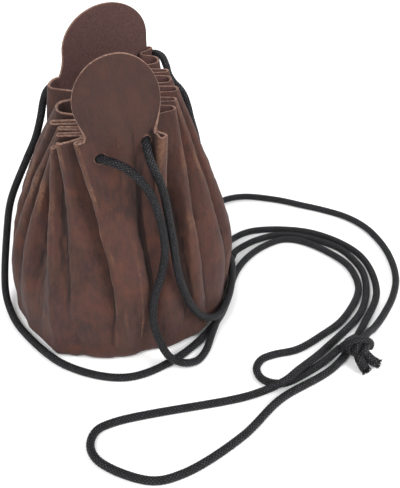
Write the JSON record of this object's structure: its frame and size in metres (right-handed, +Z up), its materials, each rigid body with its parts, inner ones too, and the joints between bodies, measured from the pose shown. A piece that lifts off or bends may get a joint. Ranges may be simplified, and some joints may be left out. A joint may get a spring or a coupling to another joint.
{
  "type": "drawcord coin pouch",
  "caption": "Soft leather pouch gathered at its neck into deep pleats by a long braided cord, with a tab front and rear.",
  "frame": {"origin": "middle of the pouch's own box at the floor, without the loose cord", "axes": "+Z up through the mouth, the front tab faces -Y, +X is the right-hand side seen from the front"},
  "size_m": [0.2113, 0.2085, 0.1475],
  "materials": {
    "leather": "matte oiled nubuck with lighter fold edges and cut edges",
    "cord": "black round braid"
  },
  "bodies": {
    "root": {"leather_body": "leather", "cord_front_left": "cord", "cord_front_loop": "cord", "cord_rear_left": "cord", "cord_rear_right": "cord", "cord_left_run": "cord", "cord_right_run": "cord", "cord_knot": "cord", "cord_tail_1": "cord", "cord_tail_2": "cord"}
  },
  "joints": []
}
